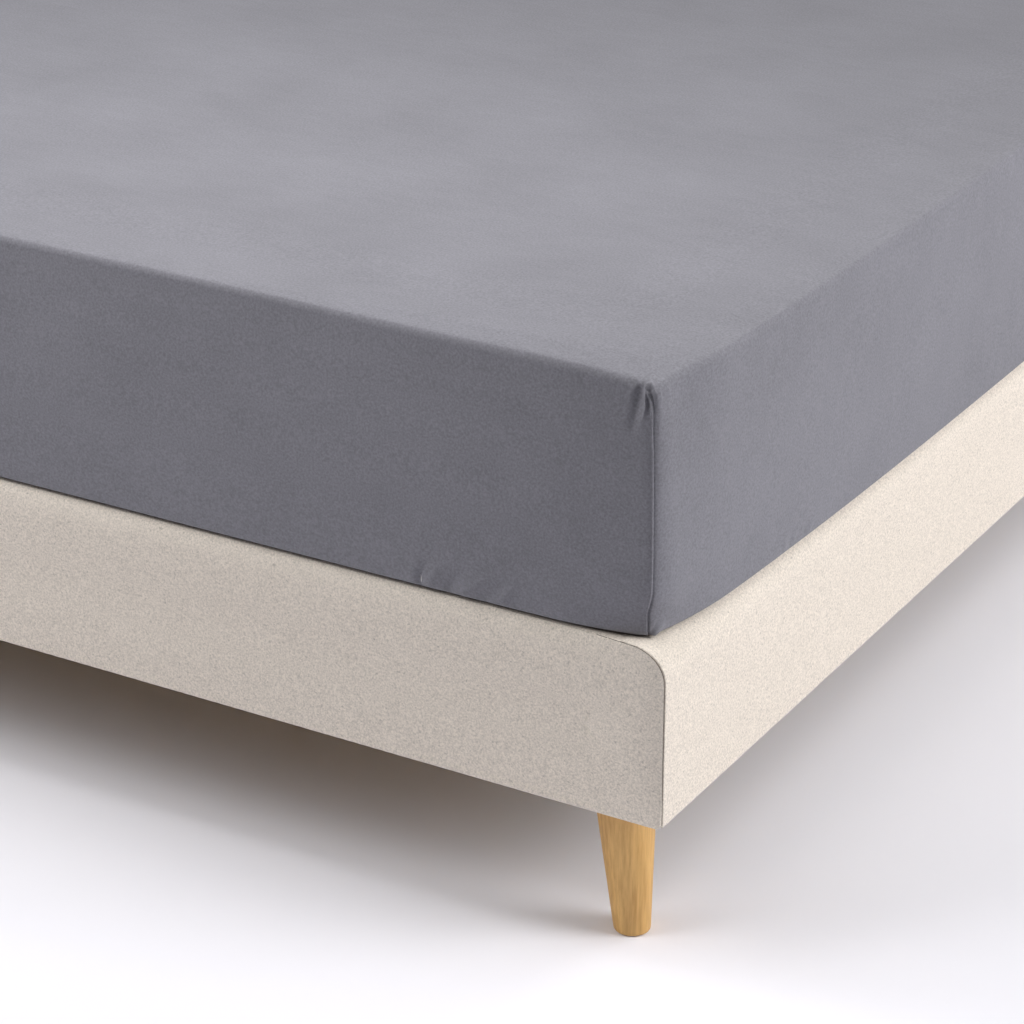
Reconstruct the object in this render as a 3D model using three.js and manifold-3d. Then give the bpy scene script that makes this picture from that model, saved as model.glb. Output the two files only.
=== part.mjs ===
// A fitted sheet stretched over a mattress, on an upholstered bed base with tapered legs.
// Millimetres. X runs across the bed, +Y points to the head end, +Z is up and the floor is z = 0.
import * as THREE from "three";
import { mergeVertices } from "three/addons/utils/BufferGeometryUtils.js";
import Module from "manifold-3d";

const wasm = await Module();
wasm.setup();

// ---- driving dimensions -------------------------------------------------------------------

const GAP = 0.3; // left between pieces that touch

const BED = { width: 1620, length: 2020 };
const LEG = {
  height: 150,
  topRadius: 30,
  footRadius: 18,
  footEdge: 2,
  sideInset: 67, // from the base's side to the middle of the leg's top
  endInset: 55, // from the base's end to the middle of the leg
  splay: 10, // how far the foot stands further out to the side than the top
};
const RAIL = { height: 180, depth: 46, topRound: 30, bottomRound: 3, facing: 3, facingRound: 2.5 };
const BLOCK = { side: 94, height: 45 };
const BATTEN = { width: 30, height: 30 };
const SLAT = { count: 13, width: 90, thickness: 18, endGap: 2 };
const BEAM = { width: 44, height: 70, legRadius: 18 };
const MATTRESS = { width: 1594, length: 2000, height: 256 }; // its sides bow out past this width

const CLOTH = {
  thickness: 1.5,
  underTurn: 112, // cloth turned under the mattress, from the side to the elastic hem
  hemCorner: 85, // corner radius of the opening inside the hem
  corner: 18, // radius of the vertical corners
  smallestCorner: 6, // and of the corners of the loops that lie inside them
  bottomRound: 6,
  cornerLean: 10, // how far the sides lean in from bottom to top, at the corners
  leanReach: 110, // how far from a corner its lean gives way to the side's own
  crown: 3, // how far the middle of the top stands over its edges
  crownStart: 52, // where the crown begins, from the sides in ...
  crownReach: 280, // ... and where it is full
};
// The top edge's rounding, across the top and down the side: along the sides and at the corners.
const TOP_EDGE = {
  side: { across: 13, down: 6.5 },
  corner: { across: 42, down: 10.5 },
  reach: 560, // how far along a side the corners' softer edge reaches
};

// The mattress under the cloth: rounder edges, which the cloth clears, and sides a little further in.
const EASE = { none: { edge: 0, side: 0 }, mattress: { edge: 4.5, side: 0.6 } };

// How far a side leans in from bottom to top, in its middle and nearer its corners, how far its
// middle stands out, and how flat that bow is. Next to its corners the side is drawn in by its tuck.
const SIDE_SHAPE = {
  long: { lean: 4.5, outerLean: -1.5, bow: 21, flatness: 3.6, tuck: 13, tuckReach: 125 },
  end: { lean: 11, outerLean: 9, bow: 5, flatness: 6, tuck: 13, tuckReach: 105 },
};
const OUTER_LEAN_REACH = 700;
// The elastic hem draws the lower edge in more than the cloth above it.
const UPPER_TUCK = { share: 0.05, fromHeight: 55 };
const SHAPE_FADE = 190; // how far in from a side its bow and tuck fade out

// The sewn corner: the ridge of its seam, which lies a little towards the end, and the dip where
// the seam pulls down the top.
const SEAM = { rise: 1.2, stepFromEnd: 2, dip: 7, dipReach: 58 };

// Puckers over the bottom edge, "along" from the corner between the foot end and the right side,
// or between the head end and the left side.
const PUCKERS = [
  { kind: "end", along: 172, halfWidth: 9, reach: 34, rise: 1.6 },
  { kind: "end", along: 214, halfWidth: 8, reach: 40, rise: 1.9 },
  { kind: "end", along: 262, halfWidth: 8, reach: 38, rise: 1.4 },
  { kind: "long", along: 236, halfWidth: 8, reach: 34, rise: 1.3 },
  { kind: "long", along: 290, halfWidth: 9, reach: 42, rise: 1.6 },
];

// How finely the cloth and the mattress are divided.
const CORNER_STEPS = 6;
const TOP_STEPS = 4;
const BOTTOM_STEPS = 3;
const STATIONS = { end: [36, 60, 92, 130, 340, 520], long: [36, 60, 92, 130, 180, 400, 640] };
const SIDE_HEIGHTS = [200, 130, 64, 46, 31, 17]; // over the lower edge
const CROWN_INSETS = [280, 160, 100, 66];

// ---- levels and half sizes worked out from them -------------------------------------------

const baseTop = LEG.height + RAIL.height;
const clothBottom = baseTop + GAP;
const clothTop = clothBottom + 2 * (CLOTH.thickness + GAP) + MATTRESS.height;
const clothHalf = {
  x: MATTRESS.width / 2 + GAP + CLOTH.thickness,
  y: MATTRESS.length / 2 + GAP + CLOTH.thickness,
};
const innerHalf = { x: BED.width / 2 - RAIL.depth, y: BED.length / 2 - RAIL.depth };
const slatBottom = baseTop - SLAT.thickness;

// ---- materials ----------------------------------------------------------------------------

const MATERIALS = {
  cloth: new THREE.MeshStandardMaterial({ color: 0x8f8e95, roughness: 0.85, metalness: 0 }),
  ticking: new THREE.MeshStandardMaterial({ color: 0xe9e7e2, roughness: 0.9, metalness: 0 }),
  upholstery: new THREE.MeshStandardMaterial({ color: 0xd6cec4, roughness: 0.95, metalness: 0 }),
  oak: new THREE.MeshStandardMaterial({ color: 0xc1945c, roughness: 0.5, metalness: 0 }),
  pine: new THREE.MeshStandardMaterial({ color: 0xdcc394, roughness: 0.7, metalness: 0 }),
};

// ---- small helpers ------------------------------------------------------------------------

const bed = new THREE.Group();

function mix(from, to, share) {
  return from + (to - from) * share;
}

// Falls smoothly from 1 at zero to 0 at one and beyond.
function fade(value) {
  const share = THREE.MathUtils.clamp(value, 0, 1);
  return 1 - share * share * (3 - 2 * share);
}

function addMesh(name, geometry, material, position = [0, 0, 0]) {
  const mesh = new THREE.Mesh(geometry, material);
  mesh.name = name;
  mesh.position.set(...position);
  bed.add(mesh);
}

// ---- the form that the cloth and the mattress share ---------------------------------------

// The four sides, counter-clockwise from above, each from the corner where it starts.
const SIDES = [
  { kind: "long", normal: [1, 0], start: [1, -1] },
  { kind: "end", normal: [0, 1], start: [1, 1] },
  { kind: "long", normal: [-1, 0], start: [-1, 1] },
  { kind: "end", normal: [0, -1], start: [-1, -1] },
];

function sideLength(kind) {
  return 2 * (kind === "long" ? clothHalf.y : clothHalf.x);
}

// Where a pucker lies on its side, counted from the corner where the side starts.
function puckerPlace(pucker) {
  return pucker.kind === "long" ? pucker.along : sideLength("end") - pucker.along;
}

// Places of one side's columns: stations from both its ends, its middle, three to each pucker.
function sidePlaces(kind) {
  const length = sideLength(kind);
  const places = [length / 2];
  for (const station of STATIONS[kind]) {
    places.push(station, length - station);
  }
  for (const pucker of PUCKERS.filter((row) => row.kind === kind)) {
    const crest = puckerPlace(pucker);
    places.push(crest - pucker.halfWidth, crest, crest + pucker.halfWidth);
  }
  return places.sort((first, second) => first - second);
}

// The columns around the cloth: each corner's, which have a turn, then the side's, with a place.
function columnsAround() {
  const columns = [];
  SIDES.forEach((side, index) => {
    const firstTurn = (index - 1) * (Math.PI / 2);
    for (let step = 0; step <= CORNER_STEPS; step += 1) {
      const turn = firstTurn + (step / CORNER_STEPS) * (Math.PI / 2);
      const stepFromEnd = side.kind === "long" ? step : CORNER_STEPS - step;
      columns.push({ side, turn, seam: stepFromEnd === SEAM.stepFromEnd });
    }
    for (const place of sidePlaces(side.kind)) {
      columns.push({ side, place });
    }
  });
  return columns;
}

const COLUMNS = columnsAround();

// A column's point on a rounded rectangle that lies "inset" inside the cloth's outline.
function outlinePoint(column, inset, radius) {
  const { side, turn, place } = column;
  const coreX = clothHalf.x - inset - radius;
  const coreY = clothHalf.y - inset - radius;
  if (turn !== undefined) {
    return [
      side.start[0] * coreX + radius * Math.cos(turn),
      side.start[1] * coreY + radius * Math.sin(turn),
    ];
  }
  const half = sideLength(side.kind) / 2;
  const share = (place - half) / (half - CLOTH.corner);
  const [normalX, normalY] = side.normal;
  return [
    normalX * (coreX + radius) - normalY * share * coreX,
    normalY * (coreY + radius) + normalX * share * coreY,
  ];
}

// How near a column is to a corner's curve: 1 on it, falling to 0 at the reach along the side.
function cornerShare(column, reach) {
  if (column.turn !== undefined) {
    return 1;
  }
  const distance = Math.min(column.place, sideLength(column.side.kind) - column.place);
  return fade((distance - CLOTH.corner) / reach);
}

// A quarter of an ellipse in the section, counter-clockwise seen with the bed's middle on the
// right, from its middle and its half sizes across and down.
function quarterRound(middle, across, down, fromDegrees, steps) {
  return Array.from({ length: steps + 1 }, (_, step) => {
    const angle = THREE.MathUtils.degToRad(fromDegrees + (90 * step) / steps);
    return {
      inset: middle.inset + across * Math.cos(angle),
      height: middle.height + down * Math.sin(angle),
    };
  });
}

// How much of the crown's rise is reached at a distance in from the side.
function crownShare(inset) {
  const left = 1 - (inset - CLOTH.crownStart) / (CLOTH.crownReach - CLOTH.crownStart);
  return 1 - Math.max(left, 0) ** 3;
}

function leanAt(column) {
  const shape = SIDE_SHAPE[column.side.kind];
  const sideLean = mix(shape.lean, shape.outerLean, cornerShare(column, OUTER_LEAN_REACH));
  return mix(sideLean, CLOTH.cornerLean, cornerShare(column, CLOTH.leanReach));
}

function loopRadius(inset) {
  return Math.max(CLOTH.corner - inset, CLOTH.smallestCorner);
}

// The section from the middle of the top, over the edge and down the side to the underside,
// "depth" inside the cloth's outer face, with "ease" for the mattress.
function bodySection(column, depth, ease) {
  const softness = cornerShare(column, TOP_EDGE.reach);
  const across = mix(TOP_EDGE.side.across, TOP_EDGE.corner.across, softness) - depth + ease.edge;
  const down = mix(TOP_EDGE.side.down, TOP_EDGE.corner.down, softness) - depth + ease.edge;
  const bottomRound = CLOTH.bottomRound - depth + ease.edge;
  const edgeTop = clothTop - CLOTH.crown - depth;
  const face = depth + ease.side;
  const lean = leanAt(column);
  const leanHeight = clothTop - CLOTH.crown - clothBottom;
  const crownRows = CROWN_INSETS.map((inset) => ({
    inset,
    height: edgeTop + CLOTH.crown * crownShare(inset),
  }));
  const topMiddle = { inset: face + lean + across, height: edgeTop - down };
  const sideRows = SIDE_HEIGHTS.map((height) => ({
    inset: face + lean * (height / leanHeight) ** 2,
    height: clothBottom + height,
  }));
  const footMiddle = { inset: face + bottomRound, height: clothBottom + depth + bottomRound };
  const rows = [
    ...crownRows,
    ...quarterRound(topMiddle, across, down, 90, TOP_STEPS),
    ...sideRows,
    ...quarterRound(footMiddle, bottomRound, bottomRound, 180, BOTTOM_STEPS),
  ];
  return rows.map((row) => ({ ...row, radius: loopRadius(row.inset) }));
}

// The cloth's section runs on from there, under the mattress to the hem.
function clothSection(column, depth) {
  const rows = bodySection(column, depth, EASE.none);
  const height = clothBottom + depth;
  for (const share of [0.5, 1]) {
    const inset = mix(CLOTH.bottomRound, CLOTH.underTurn, share);
    rows.push({ inset, height, radius: mix(CLOTH.smallestCorner, CLOTH.hemCorner, share) });
  }
  return rows;
}

// How far a side stands out at a distance from its nearer corner and a height over its foot.
function sideShift(kind, distance, height) {
  const shape = SIDE_SHAPE[kind];
  const half = sideLength(kind) / 2;
  const bow = shape.bow * (1 - Math.abs(1 - distance / half) ** shape.flatness);
  const draw = mix(UPPER_TUCK.share, 1, fade(height / UPPER_TUCK.fromHeight));
  return bow - draw * shape.tuck * Math.max(1 - distance / shape.tuckReach, 0) ** 2;
}

// Moves a point from the straight-sided form to the bowed and drawn-in one.
function settle([x, y, z]) {
  const fromSide = clothHalf.x - Math.abs(x);
  const fromEnd = clothHalf.y - Math.abs(y);
  const overFoot = z - clothBottom;
  const moveX = sideShift("long", Math.max(fromEnd, 0), overFoot) * fade(fromSide / SHAPE_FADE);
  const moveY = sideShift("end", Math.max(fromSide, 0), overFoot) * fade(fromEnd / SHAPE_FADE);
  const share = overFoot / (clothTop - clothBottom);
  const dip = SEAM.dip * share * share * Math.exp(-((fromSide ** 2 + fromEnd ** 2) / SEAM.dipReach ** 2));
  return [x + Math.sign(x) * moveX, y + Math.sign(y) * moveY, z - dip];
}

// How far the cloth stands off at a column and a height, for its puckers and its seam.
function standOff(column, height) {
  const fromBottom = height - clothBottom;
  if (column.seam) {
    return SEAM.rise * fade((2 * CLOTH.corner - fromBottom) / CLOTH.corner);
  }
  if (column.turn !== undefined) {
    return 0;
  }
  return PUCKERS.filter((pucker) => pucker.kind === column.side.kind).reduce((total, pucker) => {
    const across = Math.abs(column.place - puckerPlace(pucker)) / pucker.halfWidth;
    return total + pucker.rise * fade(across) * fade(fromBottom / pucker.reach);
  }, 0);
}

// One closed loop of points, a point to a column, for one row of every column's section.
function loopPoints(sections, row, creased) {
  return COLUMNS.map((column, index) => {
    const { inset, height, radius } = sections[index][row];
    const outward = creased ? standOff(column, height) : 0;
    const [x, y] = outlinePoint(column, inset - outward, radius);
    return settle([x, y, height]);
  });
}

function sectionLoops(sectionOf, creased) {
  const sections = COLUMNS.map(sectionOf);
  return sections[0].map((_, row) => loopPoints(sections, row, creased));
}

// A closed solid through loops that run from its upper cap, over the outside, to its other cap.
// From "turnRow" on the loops climb back inside, and each face is split along the same diagonal
// in space as outside, so that the layers stay parallel.
function loftGeometry(loops, turnRow = loops.length) {
  const positions = [];
  const indices = [];
  const count = COLUMNS.length;
  for (const loop of loops) {
    loop.forEach((point) => positions.push(...point));
  }
  for (let row = 0; row + 1 < loops.length; row += 1) {
    for (let column = 0; column < count; column += 1) {
      const next = (column + 1) % count;
      const above = row * count;
      const below = above + count;
      const apex = row < turnRow ? below + next : above + next;
      const base = row < turnRow ? above + column : below + column;
      indices.push(above + column, below + column, apex);
      indices.push(base, below + next, above + next);
    }
  }
  for (const [row, facesUp] of [[0, true], [loops.length - 1, false]]) {
    const middle = positions.length / 3;
    positions.push(0, 0, loops[row][0][2]);
    for (let column = 0; column < count; column += 1) {
      const first = row * count + column;
      const second = row * count + ((column + 1) % count);
      indices.push(middle, ...(facesUp ? [first, second] : [second, first]));
    }
  }
  const geometry = new THREE.BufferGeometry();
  geometry.setAttribute("position", new THREE.Float32BufferAttribute(positions, 3));
  geometry.setIndex(indices);
  geometry.computeVertexNormals();
  return geometry;
}

function addSheet() {
  const outer = sectionLoops((column) => clothSection(column, 0), true);
  const inner = sectionLoops((column) => clothSection(column, CLOTH.thickness), true);
  addMesh("fitted_sheet", loftGeometry([...outer, ...inner.reverse()], outer.length), MATERIALS.cloth);
}

function addMattress() {
  const depth = CLOTH.thickness + GAP;
  const loops = sectionLoops((column) => bodySection(column, depth, EASE.mattress), false);
  addMesh("mattress", loftGeometry(loops), MATERIALS.ticking);
}

// ---- the upholstered base -----------------------------------------------------------------

// An upright rectangle with rounded corners, from its left and right edges and their radii.
function roundedOutline(left, right, bottom, top, radii) {
  const outline = new THREE.Shape();
  outline.moveTo(left + radii.bottomLeft, bottom);
  outline.lineTo(right - radii.bottomRight, bottom);
  outline.absarc(right - radii.bottomRight, bottom + radii.bottomRight, radii.bottomRight, -Math.PI / 2, 0);
  outline.lineTo(right, top - radii.topRight);
  outline.absarc(right - radii.topRight, top - radii.topRight, radii.topRight, 0, Math.PI / 2);
  outline.lineTo(left + radii.topLeft, top);
  outline.absarc(left + radii.topLeft, top - radii.topLeft, radii.topLeft, Math.PI / 2, Math.PI);
  outline.lineTo(left, bottom + radii.bottomLeft);
  const lastMiddle = [left + radii.bottomLeft, bottom + radii.bottomLeft];
  outline.absarc(...lastMiddle, radii.bottomLeft, Math.PI, Math.PI * 1.5);
  return outline;
}

// Stands an extrusion's outline upright across the bed, its depth running towards the foot end.
function uprightAcross(geometry) {
  return geometry.rotateX(Math.PI / 2);
}

function toManifold(geometry) {
  const plain = geometry.clone();
  plain.deleteAttribute("normal");
  plain.deleteAttribute("uv");
  const merged = mergeVertices(plain, 1e-4);
  return new wasm.Manifold(
    new wasm.Mesh({
      numProp: 3,
      vertProperties: new Float32Array(merged.attributes.position.array),
      triVerts: new Uint32Array(merged.index.array),
    }),
  );
}

function fromManifold(solid) {
  const mesh = solid.getMesh();
  const geometry = new THREE.BufferGeometry();
  geometry.setAttribute("position", new THREE.BufferAttribute(mesh.vertProperties, 3));
  geometry.setIndex(new THREE.BufferAttribute(mesh.triVerts, 1));
  geometry.computeVertexNormals();
  return geometry;
}

function addSideRails() {
  const outer = BED.width / 2;
  const length = BED.length - 2 * (RAIL.facing + GAP);
  const radii = { bottomLeft: 2, bottomRight: RAIL.bottomRound, topRight: RAIL.topRound, topLeft: 4 };
  const outline = roundedOutline(outer - RAIL.depth, outer, LEG.height, baseTop, radii);
  const right = uprightAcross(new THREE.ExtrudeGeometry(outline, { depth: length, bevelEnabled: false }));
  right.translate(0, length / 2, 0);
  addMesh("side_rail_right", right, MATERIALS.upholstery);
  addMesh("side_rail_left", right.clone().rotateZ(Math.PI), MATERIALS.upholstery);
}

// The end rail: a board between the side rails, and a facing that covers their ends too.
function endRailGeometry() {
  const half = BED.width / 2;
  const round = RAIL.facingRound;
  const radii = {
    bottomLeft: RAIL.bottomRound - round,
    bottomRight: RAIL.bottomRound - round,
    topRight: RAIL.topRound - round,
    topLeft: RAIL.topRound - round,
  };
  const outline = roundedOutline(round - half, half - round, LEG.height + round, baseTop - round, radii);
  const padding = new THREE.ExtrudeGeometry(outline, {
    depth: RAIL.facing,
    bevelThickness: round,
    bevelSize: round,
    bevelSegments: 3,
    curveSegments: 8,
  });
  uprightAcross(padding).translate(0, round - BED.length / 2 + RAIL.facing, 0);
  const keep = new THREE.BoxGeometry(BED.width + 2, RAIL.facing, RAIL.height + 2);
  keep.translate(0, (RAIL.facing - BED.length) / 2, LEG.height + RAIL.height / 2);
  const boardDepth = RAIL.depth - RAIL.facing / 2;
  const board = new THREE.BoxGeometry(2 * (innerHalf.x - GAP), boardDepth, RAIL.height);
  board.translate(0, RAIL.depth - boardDepth / 2 - BED.length / 2, LEG.height + RAIL.height / 2);
  const facing = toManifold(padding).intersect(toManifold(keep));
  return fromManifold(facing.add(toManifold(board)));
}

function addEndRails() {
  const foot = endRailGeometry();
  addMesh("foot_rail", foot, MATERIALS.upholstery);
  addMesh("head_rail", foot.clone().rotateZ(Math.PI), MATERIALS.upholstery);
}

// ---- the wood inside the base, and the legs -----------------------------------------------

const CORNERS = [
  { name: "foot_right", x: 1, y: -1 },
  { name: "head_right", x: 1, y: 1 },
  { name: "head_left", x: -1, y: 1 },
  { name: "foot_left", x: -1, y: -1 },
];

// A tapered leg, turned round and then sheared outwards, so that it splays but stands flat.
function legGeometry(outward) {
  const profile = [
    new THREE.Vector2(0, 0),
    new THREE.Vector2(LEG.footRadius - LEG.footEdge, 0),
    new THREE.Vector2(LEG.footRadius, LEG.footEdge),
    new THREE.Vector2(LEG.topRadius, LEG.height - GAP),
    new THREE.Vector2(0, LEG.height - GAP),
  ];
  const leg = new THREE.LatheGeometry(profile, 32).rotateX(Math.PI / 2);
  const splay = new THREE.Matrix4().makeShear(0, 0, 0, 0, 0, 0);
  splay.elements[8] = (-outward * LEG.splay) / LEG.height;
  return leg.applyMatrix4(splay);
}

function addCorners() {
  const legX = BED.width / 2 - LEG.sideInset + LEG.splay;
  const legY = BED.length / 2 - LEG.endInset;
  const block = new THREE.BoxGeometry(BLOCK.side, BLOCK.side, BLOCK.height);
  const blockX = innerHalf.x - GAP - BLOCK.side / 2;
  const blockY = innerHalf.y - GAP - BLOCK.side / 2;
  for (const { name, x, y } of CORNERS) {
    addMesh(`leg_${name}`, legGeometry(x), MATERIALS.oak, [x * legX, y * legY, 0]);
    addMesh(`block_${name}`, block, MATERIALS.pine, [x * blockX, y * blockY, LEG.height + BLOCK.height / 2]);
  }
}

function addDeck() {
  const length = 2 * (innerHalf.y - GAP);
  const batten = new THREE.BoxGeometry(BATTEN.width, length, BATTEN.height);
  const battenX = innerHalf.x - GAP - BATTEN.width / 2;
  const battenZ = slatBottom - GAP - BATTEN.height / 2;
  addMesh("batten_right", batten, MATERIALS.pine, [battenX, 0, battenZ]);
  addMesh("batten_left", batten, MATERIALS.pine, [-battenX, 0, battenZ]);
  const beamBottom = slatBottom - GAP - BEAM.height;
  const beam = new THREE.BoxGeometry(BEAM.width, length, BEAM.height);
  addMesh("centre_beam", beam, MATERIALS.pine, [0, 0, beamBottom + BEAM.height / 2]);
  const post = new THREE.CylinderGeometry(BEAM.legRadius, BEAM.legRadius, beamBottom - GAP, 24);
  addMesh("centre_leg", post.rotateX(Math.PI / 2), MATERIALS.pine, [0, 0, (beamBottom - GAP) / 2]);
  const slat = new THREE.BoxGeometry(2 * (innerHalf.x - SLAT.endGap), SLAT.width, SLAT.thickness);
  const pitch = (2 * innerHalf.y) / SLAT.count;
  for (let index = 0; index < SLAT.count; index += 1) {
    const slatY = (index - (SLAT.count - 1) / 2) * pitch;
    addMesh(`slat_${index + 1}`, slat, MATERIALS.pine, [0, slatY, slatBottom + SLAT.thickness / 2]);
  }
}

addSheet();
addMattress();
addSideRails();
addEndRails();
addCorners();
addDeck();

export default bed;
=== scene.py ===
import math

import bpy
import numpy as np
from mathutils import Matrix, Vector


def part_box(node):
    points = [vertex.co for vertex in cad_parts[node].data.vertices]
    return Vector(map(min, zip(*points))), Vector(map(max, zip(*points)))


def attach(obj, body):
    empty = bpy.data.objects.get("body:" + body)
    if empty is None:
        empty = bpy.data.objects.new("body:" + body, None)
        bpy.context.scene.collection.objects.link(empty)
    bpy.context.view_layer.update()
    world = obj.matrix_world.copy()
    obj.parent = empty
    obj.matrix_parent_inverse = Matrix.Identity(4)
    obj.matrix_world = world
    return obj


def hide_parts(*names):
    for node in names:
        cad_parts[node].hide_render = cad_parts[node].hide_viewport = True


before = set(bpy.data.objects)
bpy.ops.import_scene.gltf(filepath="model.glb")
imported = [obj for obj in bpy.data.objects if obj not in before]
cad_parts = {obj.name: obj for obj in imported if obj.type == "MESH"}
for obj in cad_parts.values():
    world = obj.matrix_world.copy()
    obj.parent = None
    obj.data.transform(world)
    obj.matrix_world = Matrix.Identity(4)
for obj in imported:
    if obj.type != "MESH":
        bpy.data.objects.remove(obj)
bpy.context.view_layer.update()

MM = 0.001


def box_mm(node):
    """A CAD node's lowest and highest corners, in millimetres."""
    low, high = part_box(node)
    return np.array(low) / MM, np.array(high) / MM


# ---- places taken from the frame ----

SHEET_LOW, SHEET_HIGH = box_mm("fitted_sheet")
END_LOW, END_HIGH = box_mm("foot_rail")
SIDE_LOW, SIDE_HIGH = box_mm("side_rail_right")
LEG_LOW, LEG_HIGH = box_mm("leg_foot_right")

BASE_HALF_X = END_HIGH[0]
BASE_HALF_Y = -END_LOW[1]
BASE_BOTTOM = END_LOW[2]
BASE_TOP = END_HIGH[2]
BASE_MIDDLE = (BASE_BOTTOM + BASE_TOP) / 2
CLOTH_BOTTOM = SHEET_LOW[2]
CLOTH_TOP = SHEET_HIGH[2]

# ---- the cloth's form ----

# It is close to the part's solid, but has tighter vertical corners and its own top edge.
CLOTH = {
    "thickness": 1.3,
    "half_width": 798.8,  # of the straight-sided form, before its sides bow out
    "half_length": 1001.8,
    "corner": 7.0,  # radius of the vertical corners
    "smallest_corner": 6.0,  # and the least radius of the loops inside them
    "bottom_round": 5.5,
    # The top edge is a tight rounding and then a gentle shoulder, which together reach across the
    # top and down the side: first as along the sides, then as at the corners.
    "top_round": 8.0,
    "corner_top_round": 11.5,
    "top_across": 12.0,
    "corner_across": 40.0,
    "top_down": 8.0,
    "corner_down": 14.0,
    "corner_reach": 560.0,  # how far along a side the corner's own top edge reaches
    "corner_lean": 10.0,  # how far the sides lean in from bottom to top, at the corners ...
    "lean_reach": 110.0,  # ... and how far from a corner its lean gives way to the side's own
    "crown": 3.0,  # how far the middle of the top stands over its edges
    "crown_start": 52.0,  # where the crown begins, from the sides in ...
    "crown_reach": 280.0,  # ... and where it is full
    "under_turn": 112.0,  # cloth turned under the mattress, from the side to the hem
    "hem_corner": 85.0,  # corner radius of the opening inside the hem
}
# How far a side leans in from bottom to top, in its middle and nearer its corners, how far its
# middle stands out, and how flat that bow is.
SIDE_SHAPE = {
    "long": {"lean": 4.5, "outer_lean": -1.5, "bow": 21.0, "flatness": 3.6},
    "end": {"lean": 11.0, "outer_lean": 9.0, "bow": 5.0, "flatness": 6},
}
OUTER_LEAN_REACH = 700.0
# Next to its corners the side is drawn in. The elastic draws the lower edge in more than the
# cloth above it, which keeps only a share.
SIDE_TUCK = {"long": {"depth": 13.0, "reach": 125.0}, "end": {"depth": 10.5, "reach": 105.0}}
UPPER_TUCK = {"share": 0.05, "from_height": 55.0}
SHAPE_FADE = 190.0  # how far in from a side its bow and tuck fade out
DIP = {"depth": 7.0, "reach": 58.0}  # of the top, where the corner's seam pulls it down
# How the two faces fall towards the corner's seam, each to its own depth and from its own reach,
# after a slight swell of the end's face.
CORNER_FALL = {"end": {"depth": 2.6, "reach": 110.0}, "long": {"depth": 7.6, "reach": 32.0}}
END_SWELL = {"rise": 2.0, "reach": 330.0}
# The fall is left out near the cloth's lower edge and top edge, which have their own outlines.
FALL_HEIGHTS = {"from": 4.0, "full_from": 30.0, "full_to": 205.0, "to": 250.0}

HALF_ARC = CLOTH["corner"] * math.pi / 4
CLOTH_HALF_X = CLOTH["half_width"]
CLOTH_HALF_Y = CLOTH["half_length"]

# The corners, each with the directions of its long side's and its end's faces, whether it is
# divided finely, and how strong its creases are. Along the cloth, s runs from the corner's seam:
# below zero on the end's side, above zero on the long side.
CORNERS = [
    {"name": "foot_right", "x": 1, "y": -1, "fine": True, "creases": 1.0},
    {"name": "head_right", "x": 1, "y": 1, "fine": False, "creases": 0.8},
    {"name": "head_left", "x": -1, "y": 1, "fine": False, "creases": 0.9},
    {"name": "foot_left", "x": -1, "y": -1, "fine": False, "creases": 0.7},
]


def fade(value):
    """Falls smoothly from 1 at zero to 0 at one and beyond."""
    share = np.clip(value, 0.0, 1.0)
    return 1.0 - share * share * (3.0 - 2.0 * share)


def mix(start, end, share):
    return start + (end - start) * share


def outline_point(corner, s, inset, radius):
    """Points on the rounded rectangle that lies inset inside the cloth's outline."""
    turn = np.clip(s / HALF_ARC, -1.0, 1.0) * math.pi / 4
    core_x = CLOTH_HALF_X - inset - radius
    core_y = CLOTH_HALF_Y - inset - radius
    past_arc = np.maximum(np.abs(s) - HALF_ARC, 0.0)
    on_long = s > 0
    straight = np.where(on_long, CLOTH_HALF_Y, CLOTH_HALF_X) - CLOTH["corner"]
    left = 1.0 - past_arc / straight
    x = np.where(on_long, core_x, core_x * left) + radius * np.cos(math.pi / 4 - turn)
    y = np.where(on_long, core_y * left, core_y) + radius * np.sin(math.pi / 4 - turn)
    return corner["x"] * x, corner["y"] * y


def share_left(value, reach):
    """Falls from 1 at zero to 0 at a reach, fastest at zero."""
    return np.maximum(1.0 - value / reach, 0.0) ** 2


def corner_fall(kind, distance, height):
    """How far a side falls in towards the corner's seam."""
    fall = CORNER_FALL[kind]["depth"] * share_left(distance, CORNER_FALL[kind]["reach"])
    if kind == "end":
        fall = fall - END_SWELL["rise"] * fade(distance / END_SWELL["reach"])
    at = FALL_HEIGHTS
    over = 1.0 - fade((height - at["from"]) / (at["full_from"] - at["from"]))
    under = fade((height - at["full_to"]) / (at["to"] - at["full_to"]))
    return fall * over * under


def side_shift(kind, distance, height):
    """How far a side stands out at a distance from its nearer corner and a height over its foot."""
    shape, tuck = SIDE_SHAPE[kind], SIDE_TUCK[kind]
    half = CLOTH_HALF_Y if kind == "long" else CLOTH_HALF_X
    bow = shape["bow"] * (1.0 - np.abs(1.0 - distance / half) ** shape["flatness"])
    draw = mix(UPPER_TUCK["share"], 1.0, fade(height / UPPER_TUCK["from_height"]))
    drawn_in = draw * tuck["depth"] * share_left(distance, tuck["reach"])
    return bow - drawn_in - corner_fall(kind, distance, height)


def settle(x, y, z):
    """Moves points from the straight-sided form to the bowed and drawn-in one."""
    from_side = CLOTH_HALF_X - np.abs(x)
    from_end = CLOTH_HALF_Y - np.abs(y)
    over_foot = z - CLOTH_BOTTOM
    move_x = side_shift("long", np.maximum(from_end, 0.0), over_foot) * fade(from_side / SHAPE_FADE)
    move_y = side_shift("end", np.maximum(from_side, 0.0), over_foot) * fade(from_end / SHAPE_FADE)
    height = over_foot / (CLOTH_TOP - CLOTH_BOTTOM)
    near = np.exp(-(from_side**2 + from_end**2) / DIP["reach"] ** 2)
    return x + np.sign(x) * move_x, y + np.sign(y) * move_y, z - DIP["depth"] * height**2 * near


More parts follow.
